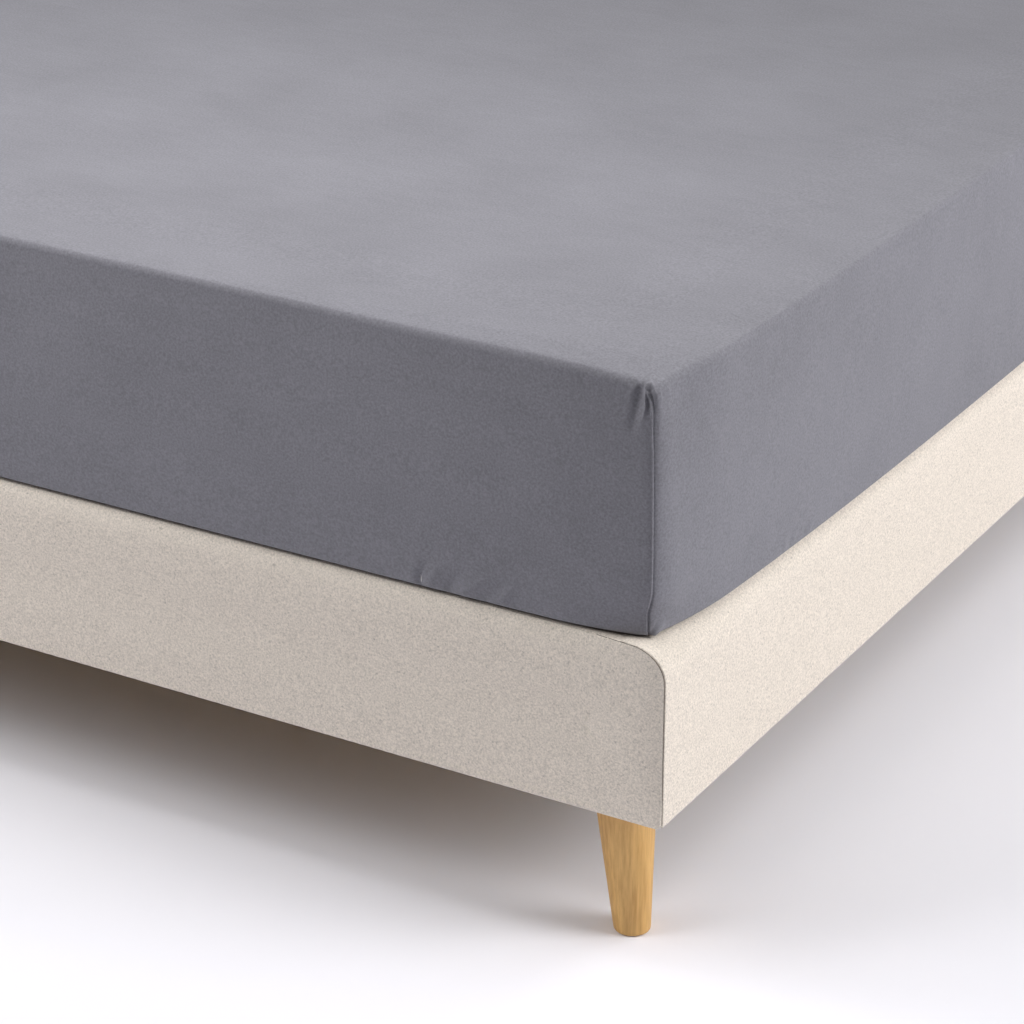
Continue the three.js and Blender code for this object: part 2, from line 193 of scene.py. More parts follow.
# ---- the cloth's seam and creases ----

# How the corner seam wanders sideways: heights over the cloth's lower edge, and its s there.
SEAM_PATH = [
    (0, -2.3),
    (8, -2.7),
    (14, -1.8),
    (22, -1.1),
    (32, -0.4),
    (90, -0.2),
    (130, -0.7),
    (185, -1.5),
    (215, -2.6),
    (222, -3.4),
    (228, -5.0),
    (241, -8.9),
    (262, -14.0),
]
SEAM_PULL = 22.0  # how far beside the seam its wandering takes the cloth's columns along
SEAM = {"top": 240.0, "bottom": 2.0, "end_fade": 6.0}
# Its ridges and troughs, at their distances beside its line.
SEAM_WAVES = [
    {"at": 0.5, "width": 6.5, "rise": -1.3},
    {"at": 0.3, "width": 0.8, "rise": 1.0},
    {"at": 1.7, "width": 0.6, "rise": -0.5},
]
# Along the seam they weaken here and there, by up to this share, as two waves cross.
UNEVENNESS = {"share": 0.4, "short_wave": 4.1, "long_wave": 9.7, "phase": 1.0}
# How the lower edge curls in, on each kind of side, and the width in which one gives way to the
# other across the seam.
LOWER_CURL = {"end": {"depth": 1.5, "reach": 12.0}, "long": {"depth": 2.0, "reach": 8.0}}
CURL_BLEND = 40.0


def crease(width, *path):
    """A soft ridge (rise above zero) or trough (below). Each point of its path has its place s,
    its height and the crease's rise there."""
    return {"width": width, "path": path}


# Heights are measured along the cloth from its lower edge, so they go on over the top's edge. The
# arch is the fold that the pinched corner's seam ends under.
ARCH = [
    (-13.5, 214, 0.2),
    (-11.6, 221, 0.9),
    (-10.4, 230, 1.6),
    (-12.0, 241, 1.9),
    (-11.0, 250, 1.8),
    (-8.0, 254, 1.5),
    (-3.8, 256, 1.4),
    (-2.8, 248, 1.3),
    (0.4, 238, 0.4),
    (1.6, 230, 0.0),
]
PINCH_CREASES = [
    crease(1.6, *ARCH),
    crease(1.1, (-9.6, 245, 1.8), (-7.4, 239, 2.3), (-5.1, 232, 1.8), (-2.7, 221, 0.1)),
    crease(1.1, (-6.2, 244, -1.2), (-3.8, 236, -1.2), (-2.4, 230, -0.8), (-1.4, 224, -0.2)),
    crease(1.2, (-9.0, 246, -1.6), (-3.8, 250, -0.9)),
    crease(1.6, (-8.8, 238, -0.9), (-7.4, 229, -0.9), (-7.0, 221, -0.2)),
    crease(4.5, (-17.4, 246, -2.6), (-18.0, 238, -3.1), (-18.8, 227, -2.4), (-22.0, 203, -0.6)),
    crease(2.0, (-16.7, 252, 1.0), (-23.2, 245, 1.0), (-26.5, 236, 0.2)),
    crease(1.6, (5.7, 247, -0.6), (8.2, 238, -0.2)),
    crease(1.6, (14.6, 245, 0.6), (18.7, 235, 0.2)),
    crease(1.6, (11.8, 254, 0.5), (13.8, 244, 0.2)),
    crease(2.3, (-36.2, 253, 0.6), (-44.9, 243, 0.2)),
    crease(2.3, (-50.6, 252, 0.6), (-60.8, 239, 0.2)),
]
FOOT_CREASES = [
    crease(2.2, (-0.4, 21, 0.5), (-0.4, 27, 0.3)),
    crease(0.8, (-1.0, 2, -2.2), (-1.4, 8, -2.2), (0.2, 21, -2.0), (1.0, 36, -1.4), (1.2, 54, 0)),
    crease(1.6, (0.0, 5, -2.0), (8.9, 16, -0.5)),
    crease(3.0, (5, 3, 1.8), (14, 12, 0.5)),
]
# Puckers where the elastic gathers the lower edge, on the end and on the long side.
PUCKERS = [
    crease(3.6, (-256, 10, 0.9), (-253, 25, 0.4)),
    crease(2.4, (-247, 6, -2.8), (-246, 16, -2.1), (-240, 27, -1.2), (-234, 35, -0.6)),
    crease(4.1, (-236, 8, 1.3), (-228, 23, 0.9), (-219, 31, 0.4)),
    crease(5.1, (-216, 8, -1.9), (-205, 23, -1.2), (-194, 33, -0.6)),
    crease(4.1, (-199, 8, 1.8), (-185, 18, 1.3), (-169, 32, 0.4)),
    crease(4.1, (-177, 7, -1.5), (-165, 18, -1.2), (-152, 29, -0.6)),
    crease(3.1, (-157, 8, 1.1), (-150, 19, 0.9), (-142, 27, 0.4)),
    crease(2.6, (-149, 8, -2.1), (-138, 19, -1.2), (-129, 29, -0.6)),
    crease(3.1, (228, 10, 0.9), (231, 20, 0.4)),
    crease(3.6, (238, 8, -0.8), (242, 20, -0.2)),
    crease(2.6, (245, 9, 0.9), (248, 16, 0.7), (254, 22, 0.1)),
    crease(3.6, (267, 8, -0.9), (273, 20, -0.2)),
    crease(2.8, (276, 9, 1.1), (283, 15, 0.9), (289, 21, 0.4)),
]
# A low ridge along the top edge of the long side, with a trough inside it.
TOP_RIDGES = [
    crease(2.5, (60, 255, 0.2), (150, 256, 0.5), (1000, 257, 0.5)),
    crease(4.0, (60, 266, 0.0), (150, 267, -0.3), (1000, 268, -0.3)),
]
CREASES = PINCH_CREASES + FOOT_CREASES + PUCKERS + TOP_RIDGES
TROUGHS = [row for row in CREASES if row["path"][0][2] < 0.0]
PLAIN_LEAST_WIDTH = 2.6  # of the creases where the cloth is divided more coarsely
PADDING_LEAST_WIDTH = 4.0  # of the hollows that the troughs press into the mattress


def seam_shift(height):
    """How far sideways the seam lies at a height."""
    return np.interp(height, *zip(*SEAM_PATH))


def seam_relief(t, height):
    """The seam's ridges and troughs, at t beside its line."""
    below_top = fade((height - SEAM["top"]) / SEAM["end_fade"])
    over_bottom = fade((SEAM["bottom"] - height) / SEAM["end_fade"])
    short = np.sin(height / UNEVENNESS["short_wave"])
    long = np.sin(height / UNEVENNESS["long_wave"] + UNEVENNESS["phase"])
    share = below_top * over_bottom * (1.0 - UNEVENNESS["share"] * (0.5 + 0.5 * short * long))
    waves = [row["rise"] * np.exp(-(((t - row["at"]) / row["width"]) ** 2)) for row in SEAM_WAVES]
    return share * sum(waves)


def edge_curl(t, height):
    """How far the lower edge curls in."""
    end, long = (
        row["depth"] * share_left(np.maximum(height, 0.0), row["reach"])
        for row in (LOWER_CURL["end"], LOWER_CURL["long"])
    )
    return mix(end, long, fade(0.5 - t / CURL_BLEND)) * (height > -CLOTH["bottom_round"])


def crease_rise(path, s, height, width):
    """One crease's rise at points of the cloth, from the nearest point of its path."""
    nearest = np.full(np.broadcast(s, height).shape, np.inf)
    rise = np.zeros(nearest.shape)
    for (s_from, h_from, rise_from), (s_to, h_to, rise_to) in zip(path, path[1:]):
        run_s, run_h = s_to - s_from, h_to - h_from
        along = ((s - s_from) * run_s + (height - h_from) * run_h) / (run_s**2 + run_h**2)
        along = np.clip(along, 0.0, 1.0)
        off = np.hypot(s - s_from - along * run_s, height - h_from - along * run_h)
        rise = np.where(off < nearest, mix(rise_from, rise_to, along), rise)
        nearest = np.minimum(nearest, off)
    return rise * np.exp(-((nearest / width) ** 2))


def crease_relief(creases, s, height, least_width):
    """All these creases' rises at points of the cloth, none narrower than the least width."""
    return sum(
        crease_rise(row["path"], s, height, max(row["width"], least_width)) for row in creases
    )


# How finely the cloth is divided: its columns' steps grow away from each seam, and are even
# where the puckers are.
FINE_COLUMNS = {"near_step": 0.45, "growth": 0.036, "last_step": 50.0}
PLAIN_COLUMNS = {"near_step": 1.2, "growth": 0.14, "last_step": 60.0}
PUCKER_ZONES = [(-285, -150), (215, 320)]
PUCKER_STEP = 2.6

MATTRESS_DEPTH = 2.2  # how far inside the sheet's outer face the mattress lies

# ---- the base's form ----

RAIL = {
    "top_round": 33.0,
    "bottom_round": 1.5,
    "facing_bottom_round": 6.0,
    "hidden_round": 0.3,  # of the edges inside the base
    "back_round": 1.5,
    "end_round": 1.2,  # how the fabric turns into the seams
    "edge_round": 4.5,  # how a facing's front turns back to its seam: at the sides ...
    "top_edge_round": 18.0,  # ... along the top ...
    "bottom_edge_round": 2.0,  # ... and along the bottom
}
# How finely the rails' outlines are divided, where they are straight and in their arcs, and the
# side rails' length, whose steps grow away from both ends.
OUTLINE_STEPS = {"side": 3.0, "facing": 4.0, "board": 12.0, "stitches": 1.0}
LEAST_ARC_STEPS = 4
ARC_RADIUS_PER_STEP = 2.0
RAIL_COLUMNS = {"near_step": 0.5, "growth": 0.045, "last_step": 60.0}
# How far behind an end's front its facing's seam lies: the least, and how it grows along the
# top from "level" in from the side, up to the most.
FACING_DEPTH = {"least": 0.8, "level": 20.0, "slope": 0.096, "most": 9.0}
RECESS_REACH = 60.0  # how far along a side rail its columns follow the seam's depth
# The facing's rings, as shares of the way from its rim to the spine that they close on, and how
# its padding's relief fades out on that way.
FACING_RINGS = [1.0, 0.8, 0.6, 0.45, 0.32, 0.22, 0.15, 0.1, 0.06, 0.03, 0.0]
FACING_SPINE = {"from_side": 80.0, "height_share": 0.02}
RELIEF_FADE = {"start": 0.5, "width": 0.4}
EDGE_STEPS = 8  # round the facing's edge
# How far the padded facing swells over the board, and how it falls to its outline at the sides
# and along the top, fading out towards its lower edge.
FACING_SWELL = 2.0
FACING_FALL = {"side": 3.4, "top": 4.2, "reach": 34.0, "fade": 60.0}
RIM_SINK = 0.9  # how far the fabric behind the facing's top edge lies below it
# The facing's rim is tucked in behind its seam, and the board begins behind both.
FACING_TUCK = 0.1
FACING_BACK = 1.0
BOARD_GAP = 0.2
SEAM_GAP = {"side": 3.0, "top": 0.9}  # between the facing and the side rails' fabric
PADDING_WAVES = [
    {"along": 61.0, "height": 37.0, "phase": 0.7, "rise": 0.25},
    {"along": 23.0, "height": 29.0, "phase": 2.1, "rise": 0.12},
]
PADDING_START = {"side": 4.0, "facing": 20.0}  # how far from the seams they come in
FACING_WAVES_SHIFT = 40.0
# The fabric's gathers along the seams: how they fan out with their distance, where their pull is
# strong or weak, and how they slant over a side rail and over a facing.
GATHERS = {
    "rise": 0.35,
    "reach": 10.0,
    "pitch": 1.4,
    "fan": 0.35,
    "fan_wave": 23.0,
    "pull_wave": 17.0,
    "pull_phase": 1.0,
    "side_slant": 9.0,
    "facing_slant": 0.6,
}
STITCH = {
    "pitch": 6.0,
    "length": 6.6,
    "fill": 0.42,  # its radius, as a share of the seam's gap
    "end_fill": 0.3,  # the least part of its section that is left at its ends
    "sunk": 0.5,
    "reach": 74.0,  # how far in from the side the stitches go along the top
    "lowest": 0.5,  # where they begin, over the base's lower edge
    "rings": 7,
    "sides": 6,
    "seed": 4,
    "length_range": (0.7, 1.2),
    "sunk_range": (0.6, 1.4),
}
LEG = {
    "foot_radius": 18.0,
    "top_radius": 30.0,
    "foot_edge": 3.0,
    "foot_reach": 40.0,  # from the leg's innermost point to the middle of its foot
    "splay": 10.0,  # how far the foot stands further out to the side than the top
    "sides": 72,
    "edge_steps": 4,
    "side_steps": 8,
}
HALF_TURN = [-1, -1, 1]  # turns points half round the upright axis, to the opposite side or end

# ---- the cloth's grid ----

# The top's rows, from the sides in, and its edge's, by the angle of the tight rounding.
CROWN_INSETS = [780, 500, 300, 200, 140, 100, 76, 62]
TOP_ARC_ANGLES = np.radians([90, 85, 80, 75, 70, 65, 60, 55, 50, 44, 38, 32, 26, 20, 15, 10, 5, 0])
SHOULDER_TURN = math.radians(36.0)  # of the tight rounding, over which the shoulder is added
BOTTOM_ARC_STEPS = 6
UNDER_TURN_SHARES = [0.15, 0.4, 0.7, 1.0]  # from the side to the hem
# The side's rows, from its top down: the height of each part of it and the steps in it. The
# last part takes what is left.
SIDE_PARTS = [(36, 24), (26, 6), (134, 7), (None, 17)]


def side_shares(side_height):
    """Heights of the side's rows as shares, from its top to its bottom, finest near both edges."""
    place = side_height
    rows = []
    for part, steps in SIDE_PARTS:
        end = 0.0 if part is None else place - part
        rows.append(np.linspace(place, end, steps + 1)[1:])
        place = end
    return np.concatenate(rows)[:-1] / side_height


def lean_at(s, past_arc):
    """How far a side leans in from bottom to top at places s."""
    long, end = SIDE_SHAPE["long"], SIDE_SHAPE["end"]
    outer = fade(past_arc / OUTER_LEAN_REACH)
    long_lean = mix(long["lean"], long["outer_lean"], outer)
    end_lean = mix(end["lean"], end["outer_lean"], outer)
    side_lean = np.where(s > 0, long_lean, end_lean)
    return mix(side_lean, CLOTH["corner_lean"], fade(past_arc / CLOTH["lean_reach"]))


def cloth_section(s):
    """The section at places s: arrays of inset, height, corner radius and length along the
    cloth, with a row for each row of the grid and a column for each place."""
    past_arc = np.abs(s) - HALF_ARC
    near = fade(past_arc / CLOTH["corner_reach"])
    across = mix(CLOTH["top_across"], CLOTH["corner_across"], near)
    down = mix(CLOTH["top_down"], CLOTH["corner_down"], near)
    lean = lean_at(s, past_arc)
    arc_end = lean + across
    edge_top = CLOTH_TOP - CLOTH["crown"]
    arc_start = edge_top - down
    side_foot = CLOTH_BOTTOM + CLOTH["bottom_round"]
    rows = []
    for inset in CROWN_INSETS:
        climbed = (inset - CLOTH["crown_start"]) / (CLOTH["crown_reach"] - CLOTH["crown_start"])
        share = 1.0 - max(1.0 - climbed, 0.0) ** 3
        length = arc_start - CLOTH_BOTTOM + down + inset - lean
        rows.append((inset, edge_top + CLOTH["crown"] * share, length))
    tight = mix(CLOTH["top_round"], CLOTH["corner_top_round"], near)
    for angle in TOP_ARC_ANGLES:
        past_shoulder = 1.0 - fade((math.pi / 2 - angle) / SHOULDER_TURN)
        inset = arc_end - tight * math.cos(angle) - (across - tight) * past_shoulder
        height = arc_start + tight * math.sin(angle) + (down - tight) * (1.0 - past_shoulder)
        rows.append((inset, height, height - CLOTH_BOTTOM + inset - lean))
    side_height = edge_top - CLOTH["top_down"] - side_foot
    for share in side_shares(side_height):
        height = mix(side_foot, arc_start, share)
        rows.append((lean * share**2, height, height - CLOTH_BOTTOM))
    for step in range(BOTTOM_ARC_STEPS + 1):
        angle = math.pi / 2 * step / BOTTOM_ARC_STEPS
        inset = CLOTH["bottom_round"] * (1 - math.cos(angle))
        height = side_foot - CLOTH["bottom_round"] * math.sin(angle)
        rows.append((inset, height, height - CLOTH_BOTTOM))
    radii = [np.maximum(CLOTH["corner"] - row[0], CLOTH["smallest_corner"]) for row in rows]
    for share in UNDER_TURN_SHARES:
        inset = mix(CLOTH["bottom_round"], CLOTH["under_turn"], share)
        rows.append((inset, CLOTH_BOTTOM, CLOTH["bottom_round"] - inset))
        radii.append(mix(CLOTH["smallest_corner"], CLOTH["hem_corner"], share))
    inset, height, length = zip(*rows)
    return [np.array([row + 0 * s for row in part]) for part in (inset, height, radii, length)]


def stations(far, near_step, growth, last_step):
    """Distances from a seam out to far, in steps that grow with the distance."""
    places = [0.0]
    while places[-1] < far:
        step = min(near_step + growth * places[-1], last_step)
        places.append(places[-1] + step)
    return np.array(places) * far / places[-1]


def around_bed(grids):
    """Joins the corners' grids into one, its columns running counter-clockwise from above."""
    turned = [
        grid if corner["x"] * corner["y"] < 0 else grid[:, ::-1]
        for corner, grid in zip(CORNERS, grids)
    ]
    return np.concatenate(turned, axis=1)


# ---- meshes ----


def make_object(name, points, faces, material):
    """A smooth-shaded mesh object from points in millimetres."""
    mesh = bpy.data.meshes.new(name)
    mesh.from_pydata((np.asarray(points) * MM).tolist(), [], faces)
    mesh.validate()
    mesh.polygons.foreach_set("use_smooth", [True] * len(mesh.polygons))
    mesh.materials.append(material)
    made = bpy.data.objects.new(name, mesh)
    bpy.context.scene.collection.objects.link(made)
    return made


def grid_faces(rows, columns, first):
    """Quads between neighbouring rows of points, each row a loop round the form."""
    row, column = np.meshgrid(np.arange(rows - 1), np.arange(columns), indexing="ij")
    after = (column + 1) % columns
    corners = [row * columns + column, (row + 1) * columns + column]
    corners += [(row + 1) * columns + after, row * columns + after]
    return (np.stack(corners, axis=-1).reshape(-1, 4) + first).tolist()


def fan_faces(loop, middle, outward=True):
    """Triangles from a loop of point numbers to a middle point."""
    pairs = zip(loop, loop[1:] + loop[:1])
    return [(middle, a, b) if outward else (middle, b, a) for a, b in pairs]


def loft(loops, cap_points, first=0):
    """Points and faces of a closed form through loops, with a fan over its first and last loop."""
    rows, columns = loops.shape[:2]
    points = np.concatenate([loops.reshape(-1, 3), np.array(cap_points)])
    faces = grid_faces(rows, columns, first)
    count = rows * columns
    numbers = list(range(first, first + count))
    faces += fan_faces(numbers[:columns], first + count)
    faces += fan_faces(numbers[-columns:], first + count + 1, outward=False)
    return points, faces


# ---- colors, light and camera ----


def linear(red, green, blue):
    """A display color, 0 to 255, as the shader's linear one."""
    parts = [value / 255 for value in (red, green, blue)]
    return tuple(((part + 0.055) / 1.055) ** 2.4 for part in parts) + (1.0,)


SHEET_COLOR = linear(126, 125, 132)
TICKING_COLOR = linear(232, 230, 225)
UPHOLSTERY_COLOR = linear(227, 217, 205)
# The stitches' colour is darker than their thread, because it also paints the shade in the seams'
# grooves.
STITCH_AND_SEAM_SHADE_COLOR = linear(112, 102, 94)
OAK_COLOR = linear(227, 182, 112)
OAK_DARK = linear(184, 135, 70)
PINE_COLOR = linear(226, 201, 158)
PINE_DARK = linear(196, 162, 112)
FLOOR_COLOR = linear(243, 242, 248)
# Large soft lights, all pointing at one place in the bed near its visible corner.
LIGHT_TARGET = (0.5, -0.7, 0.4)
LIGHTS = [
    {"name": "left_low", "place": (-1.5, -3.0, 2.4), "size": 1.6, "power": 26.4},
    {"name": "left_high", "place": (-1.5, -3.0, 4.0), "size": 1.6, "power": 33.0},
    {"name": "left_side", "place": (-1.5, -1.3, 2.4), "size": 1.6, "power": 40.0},
    {"name": "right_side", "place": (3.0, 0.6, 3.0), "size": 3.0, "power": 50.0},
    {"name": "right_back", "place": (3.0, 4.0, 5.5), "size": 3.0, "power": 98.0},
    {"name": "right_window", "place": (5.5, 0.6, 3.0), "size": 3.0, "power": 183.0},
]
# Weak soft lights over the sheet's top, each pointing straight down.
TOP_LIGHTS = [
    {"name": "top_near", "place": (0.1, -0.8, 1.9), "size": 1.0, "power": 1.5},
    {"name": "top_right", "place": (0.6, -0.8, 1.9), "size": 1.0, "power": 1.2},
]
TOP_LIGHT_SPREAD = 80.0
# The camera's place from the floor under the base's visible corner, and its turn in degrees.
CAMERA = {"from_corner": (1.186, -2.281, 1.633), "turn": (65.62, 0.0, 30.5), "lens": 113.62}


# ---- the sheet and the mattress ----


def cloth_columns(corner, fine):
    """The places of one corner's columns, from the middle of its end to that of its long side."""
    extra = HALF_ARC - CLOTH["corner"]
    grow = FINE_COLUMNS if fine else PLAIN_COLUMNS
    end_side = -stations(CLOTH_HALF_X + extra, **grow)
    long_side = stations(CLOTH_HALF_Y + extra, **grow)
    places = np.concatenate([end_side, long_side[1:]])
    if fine:
        for low, high in PUCKER_ZONES:
            outside = places[(places < low) | (places > high)]
            places = np.concatenate([outside, np.arange(low, high, PUCKER_STEP)])
    places = np.sort(places)
    return places[:-1] if corner["x"] * corner["y"] < 0 else places[1:]


def cloth_form(fine):
    """Over the whole grid: the cloth's outer points without its relief, and that relief, which
    for the mattress is only what presses into it."""
    forms, reliefs = [], []
    for corner in CORNERS:
        columns = cloth_columns(corner, fine and corner["fine"])
        inset, height, radius, length = cloth_section(columns)
        place = columns + seam_shift(length) * np.exp(-((columns / SEAM_PULL) ** 2))
        x, y = outline_point(corner, place, inset, radius)
        forms.append(np.stack(settle(x, y, height), axis=-1))
        if fine:
            least_width = 0.0 if corner["fine"] else PLAIN_LEAST_WIDTH
            relief = corner["creases"] * crease_relief(CREASES, place, length, least_width)
            relief = relief + seam_relief(columns, length)
        else:
            relief = corner["creases"] * crease_relief(TROUGHS, place, length, PADDING_LEAST_WIDTH)
        reliefs.append(relief - edge_curl(columns, length))
    return around_bed(forms), around_bed(reliefs)


def outward_normals(form):
    """Unit normals of a grid of points whose columns close on themselves."""
    along = np.gradient(form, axis=0)
    across = np.roll(form, -1, axis=1) - np.roll(form, 1, axis=1)
    normals = np.cross(along, across)
    return normals / np.linalg.norm(normals, axis=-1, keepdims=True)


def build_sheet(material):
    form, relief = cloth_form(fine=True)
    normals = outward_normals(form)
    outer = form + normals * relief[..., None]
    inner = outer - normals * CLOTH["thickness"]
    loops = np.concatenate([outer, inner[::-1]])
    caps = [(0, 0, outer[0, 0, 2]), (0, 0, inner[0, 0, 2])]
    points, faces = loft(loops, caps)
    return make_object("sheet_cloth", points, faces, material)


def build_mattress(material):
    form, relief = cloth_form(fine=False)
    normals = outward_normals(form)
    depth = MATTRESS_DEPTH - relief
    body = (form - normals * depth[..., None])[: -len(UNDER_TURN_SHARES)]
    caps = [(0, 0, body[0, 0, 2]), (0, 0, body[-1, 0, 2])]
    points, faces = loft(body, caps)
    return make_object("mattress_body", points, faces, material)


# ---- the upholstered base ----


def rounded_outline(left, right, bottom, top, radii, step):
    """Points round an upright rectangle, counter-clockwise from its bottom right corner, with
    their outward normals. The radii are those of the corners in that order."""
    corners = [(right, bottom), (right, top), (left, top), (left, bottom)]
    arcs = []
    for index, ((x, z), radius) in enumerate(zip(corners, radii)):
        inward = (-1 if x == right else 1, 1 if z == bottom else -1)
        centre = np.array([x + inward[0] * radius, z + inward[1] * radius])
        steps = max(LEAST_ARC_STEPS, round(radius / ARC_RADIUS_PER_STEP))
        angles = (index - 1) * math.pi / 2 + np.linspace(0, math.pi / 2, steps + 1)
        normals = np.stack([np.cos(angles), np.sin(angles)], axis=-1)
        arcs.append((centre + radius * normals, normals))
    points, normals = [], []
    for (arc, arc_normals), (next_arc, next_normals) in zip(arcs, arcs[1:] + arcs[:1]):
        start, end = arc[-1], next_arc[0]
        count = max(2, round(np.linalg.norm(end - start) / step))
        points += [arc, mix(start, end, np.linspace(0, 1, count + 1)[1:-1, None])]
        normals += [arc_normals, np.repeat(next_normals[:1], count - 1, axis=0)]
    return np.concatenate(points), np.concatenate(normals)


def seam_gap(upward):
    """How wide the seam is where the outline's normal points upwards by that share."""
    return mix(SEAM_GAP["side"], SEAM_GAP["top"], np.maximum(upward, 0.0) ** 2)


def facing_depth(x, z):
    """How far behind an end's front the seam round its facing lies."""
    from_side = BASE_HALF_X - np.abs(x)
    along_top = FACING_DEPTH["slope"] * (from_side - FACING_DEPTH["level"])
    depth = np.clip(FACING_DEPTH["least"] + along_top, FACING_DEPTH["least"], FACING_DEPTH["most"])
    return np.where(z > BASE_TOP - RAIL["top_round"], depth, FACING_DEPTH["least"])


def upholstery_waves(along, height):
    """Slight unevenness of the padding under the fabric."""
    return sum(
        row["rise"]
        * np.sin(along / row["along"] + row["phase"])
        * np.cos(height / row["height"] + row["phase"])
        for row in PADDING_WAVES
    )


def seam_gathers(distance, height):
    """Small gathers of the fabric, fanning out from the stitches of a seam."""
    spread = height + GATHERS["fan"] * distance * np.sin(height / GATHERS["fan_wave"])
    pull = 0.5 + 0.5 * np.sin(height / GATHERS["pull_wave"] + GATHERS["pull_phase"])
    ripples = np.sin(spread / GATHERS["pitch"])
    return GATHERS["rise"] * pull * np.exp(-distance / GATHERS["reach"]) * ripples


def facing_outline(step):
    """The outline of an end's facing, with its outward normals."""
    top, bottom = RAIL["top_round"], RAIL["facing_bottom_round"]
    radii = [bottom, top, top, bottom]
    return rounded_outline(-BASE_HALF_X, BASE_HALF_X, BASE_BOTTOM, BASE_TOP, radii, step)


def build_side_rail(name, side, material):
    """The right side rail as loops along its length, turned half round for the left one."""
    outer, inner = SIDE_HIGH[0], SIDE_LOW[0]
    radii = [RAIL["bottom_round"], RAIL["top_round"], RAIL["hidden_round"], RAIL["hidden_round"]]
    step = OUTLINE_STEPS["side"]
    outline, normals = rounded_outline(inner, outer, BASE_BOTTOM, BASE_TOP, radii, step)
    height = outline[:, 1]
    facing_out = np.maximum(normals[:, 0], 0.0)
    half = BASE_HALF_Y - FACING_DEPTH["least"] - SEAM_GAP["side"]
    recess = facing_depth(outline[:, 0], height) - FACING_DEPTH["least"]
    recess = recess + seam_gap(normals[:, 1]) - SEAM_GAP["side"]
    from_end = stations(half, **RAIL_COLUMNS)
    places = np.concatenate([from_end - half, (half - from_end)[:-1][::-1]])
    loops = []
    for y in places:
        distance = half - abs(y)
        into_seam = max(1.0 - distance / RAIL["end_round"], 0.0)
        rounding = RAIL["end_round"] * (1.0 - math.sqrt(1.0 - into_seam**2))
        relief = upholstery_waves(y, height)
        relief = relief + seam_gathers(distance, height + y / GATHERS["side_slant"])
        relief = facing_out * relief * fade(1.0 - distance / PADDING_START["side"])
        shifted = outline + normals * (relief - rounding)[:, None]
        place = y - math.copysign(1.0, y) * recess * fade(distance / RECESS_REACH)
        loops.append(np.stack([shifted[:, 0], place, shifted[:, 1]], axis=-1))
    middle_x = (inner + outer) / 2
    caps = [(middle_x, -half, BASE_MIDDLE), (middle_x, half, BASE_MIDDLE)]
    points, faces = loft(np.array(loops), caps)
    if side < 0:
        points = points * HALF_TURN
    return make_object(name, points, faces, material)


def facing_mesh():
    """The padded facing over the foot end, as rings from its spine out to its tucked-in rim."""
    outline, normals = facing_outline(OUTLINE_STEPS["facing"])
    upward = np.maximum(normals[:, 1], 0.0) ** 2
    downward = np.maximum(-normals[:, 1], 0.0) ** 2
    edge = RAIL["edge_round"] + 0 * upward
    edge += (RAIL["top_edge_round"] - RAIL["edge_round"]) * upward
    edge += (RAIL["bottom_edge_round"] - RAIL["edge_round"]) * downward
    front = -BASE_HALF_Y
    depth = facing_depth(outline[:, 0], outline[:, 1])
    spine_half = BASE_HALF_X - FACING_SPINE["from_side"]
    spine_x = np.clip(outline[:, 0], -spine_half, spine_half)
    spine_z = BASE_MIDDLE + (outline[:, 1] - BASE_MIDDLE) * FACING_SPINE["height_share"]
    spine = np.stack([spine_x, spine_z], axis=-1)
    rim = outline - normals * edge[:, None]
    # Each ring with its distance in from the outline, how far it is set back, and the share of
    # its relief that is left there.
    loops = []
    for share in FACING_RINGS:
        ring = mix(rim, spine, share)
        distance = edge + np.linalg.norm(ring - rim, axis=1)
        relief_left = fade((share - RELIEF_FADE["start"]) / RELIEF_FADE["width"])
        loops.append((ring, distance, 0 * distance, relief_left))
    for angle in np.linspace(0, math.pi / 2, EDGE_STEPS + 1)[1:]:
        distance = edge * (1 - math.sin(angle))
        ring = outline - normals * distance[:, None]
        loops.append((ring, distance, depth * (1 - math.cos(angle)), 1.0))
    fall = mix(FACING_FALL["side"], FACING_FALL["top"], upward)
    fall = fall * (1.0 - fade((outline[:, 1] - BASE_BOTTOM) / FACING_FALL["fade"]))
    rings = []
    for ring, distance, setback, relief_left in loops:
        x, z = ring[:, 0], ring[:, 1]
        swell = FACING_SWELL - fall * share_left(distance, FACING_FALL["reach"])
        from_seam = 1 - np.exp(-distance / PADDING_START["facing"])
        relief = swell + upholstery_waves(x + FACING_WAVES_SHIFT, z) * from_seam
        relief = relief * relief_left + seam_gathers(distance, z + GATHERS["facing_slant"] * x)
        y = front + setback - relief * (1 - setback / depth)
        rings.append(np.stack([x, y, z - RIM_SINK * upward * setback / depth], axis=-1))
    tucked = outline - normals * (RAIL["end_round"] + RIM_SINK * upward)[:, None]
    rings.append(np.stack([tucked[:, 0], front + depth + FACING_TUCK, tucked[:, 1]], axis=-1))
    return loft(np.array(rings), [(0, front, BASE_MIDDLE), (0, front + FACING_BACK, BASE_MIDDLE)])


def board_mesh(first):
    """The board behind the foot end's facing, its points numbered from the first."""
    half, top, radii = SIDE_LOW[0], BASE_TOP - RIM_SINK, [RAIL["hidden_round"]] * 4
    outline, normals = rounded_outline(-half, half, BASE_BOTTOM, top, radii, OUTLINE_STEPS["board"])
    front = facing_depth(outline[:, 0], outline[:, 1]) - BASE_HALF_Y + BOARD_GAP
    back = END_HIGH[1] + 0 * front
    loops = []
    for y, inset in [
        (front, RAIL["end_round"]),
        (front + RAIL["end_round"], 0.0),
        (back - RAIL["back_round"], 0.0),
        (back, RAIL["back_round"]),
    ]:
        ring = outline - normals * inset
        loops.append(np.stack([ring[:, 0], y, ring[:, 1]], axis=-1))
    middle_front = FACING_BACK + BOARD_GAP - BASE_HALF_Y
    return loft(np.array(loops), [(0, middle_front, BASE_MIDDLE), (0, END_HIGH[1], BASE_MIDDLE)], first)


